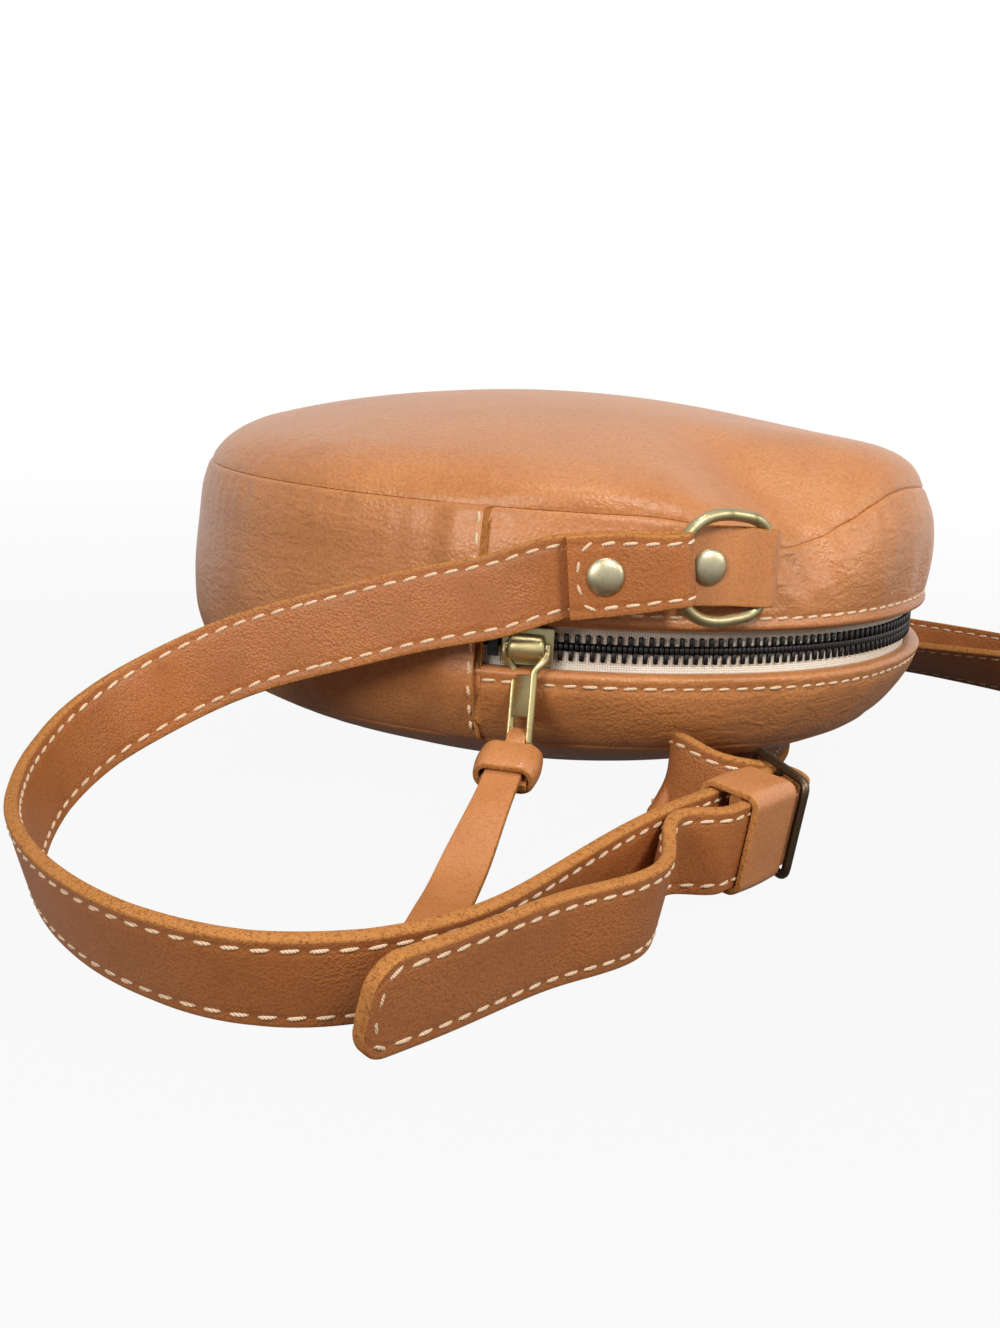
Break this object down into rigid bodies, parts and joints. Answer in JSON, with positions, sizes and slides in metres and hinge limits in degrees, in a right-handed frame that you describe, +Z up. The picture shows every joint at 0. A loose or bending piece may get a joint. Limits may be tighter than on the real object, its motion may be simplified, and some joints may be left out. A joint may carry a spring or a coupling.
{
  "type": "round leather shoulder bag",
  "caption": "Round stitched leather shoulder bag with a domed front and back, a metal-toothed zip, ring anchors and an adjustable buckled strap, lying on its back panel",
  "frame": {"origin": "centre of the flat face in the middle of the back panel, which the bag lies on", "axes": "+Z up along the bag's axis from the back panel to the front panel; -Y towards the side with the zip's closed end and the strap's loop; +X towards the right of that side"},
  "size_m": [0.2953, 0.412, 0.096],
  "materials": {
    "leather_body": "tan full-grain leather with a soft sheen",
    "leather_strap": "tan strap leather with raw golden edges",
    "leather_trim": "smooth pale tan leather",
    "zip_tape": "woven beige tape",
    "zip_teeth": "black metal teeth",
    "aged_brass": "aged brass",
    "rivet_brass": "brushed pale brass",
    "dark_bronze": "dark bronze plating"
  },
  "bodies": {
    "bag": {"front_panel": "leather_body", "back_panel": "leather_body", "base_gusset": "leather_body", "zip_strip_front": "leather_body", "zip_strip_back": "leather_body", "zip_tape_front": "zip_tape", "zip_tape_back": "zip_tape", "zip_teeth_front": "zip_teeth", "zip_teeth_back": "zip_teeth", "zip_stops": "zip_teeth", "left_anchor_tab": "leather_strap", "right_anchor_tab": "leather_strap", "left_anchor_rivet": "rivet_brass", "right_anchor_rivet": "rivet_brass", "left_strap": "leather_strap", "right_strap": "leather_strap"},
    "slider": {"zip_slider": "aged_brass"},
    "pull": {"zip_pull": "aged_brass"},
    "tab": {"pull_tab": "leather_trim", "pull_tab_band": "leather_trim"},
    "left_ring": {"left_d_ring": "aged_brass", "left_strap_rivet": "rivet_brass"},
    "right_ring": {"right_d_ring": "aged_brass", "right_strap_rivet": "rivet_brass"},
    "keeper": {"strap_keeper": "leather_trim"},
    "buckle": {"strap_buckle": "dark_bronze"}
  },
  "joints": [
    {"name": "zip_travel", "type": "hinge", "parent": "bag", "child": "slider", "pos_m": [0, 0, 0.042], "axis": [0, 0, 1], "range_deg": [0, 176], "deforming": ["zip_tape_front", "zip_tape_back", "zip_teeth_front", "zip_teeth_back"]},
    {"name": "pull_swing", "type": "hinge", "parent": "slider", "child": "pull", "pos_m": [-0.00755, -0.10047, 0.042], "axis": [-0.9972, 0.075, 0], "range_deg": [0, 85]},
    {"name": "tab_swing", "type": "hinge", "parent": "pull", "child": "tab", "pos_m": [-0.00788, -0.10484, 0.02136], "axis": [-0.9972, 0.075, 0], "range_deg": [0, 60], "deforming": ["pull_tab", "pull_tab_band"]},
    {"name": "left_ring_swing", "type": "hinge", "parent": "bag", "child": "left_ring", "pos_m": [0.04471, -0.09332, 0.0626], "axis": [0, 0, 1], "range_deg": [0, 150], "deforming": ["left_strap"]},
    {"name": "right_ring_swing", "type": "hinge", "parent": "bag", "child": "right_ring", "pos_m": [0.06024, 0.08414, 0.0626], "axis": [0, 0, -1], "range_deg": [0, 150], "deforming": ["right_strap"]},
    {"name": "keeper_slide", "type": "slide", "parent": "bag", "child": "keeper", "axis": [0.575, 0.8181, 0], "range_m": [-0.015, 0]},
    {"name": "buckle_swing", "type": "hinge", "parent": "bag", "child": "buckle", "pos_m": [0.04696, -0.12147, 0.01367], "axis": [0.1139, -0.08, 0.9903], "range_deg": [-4, 20]}
  ]
}
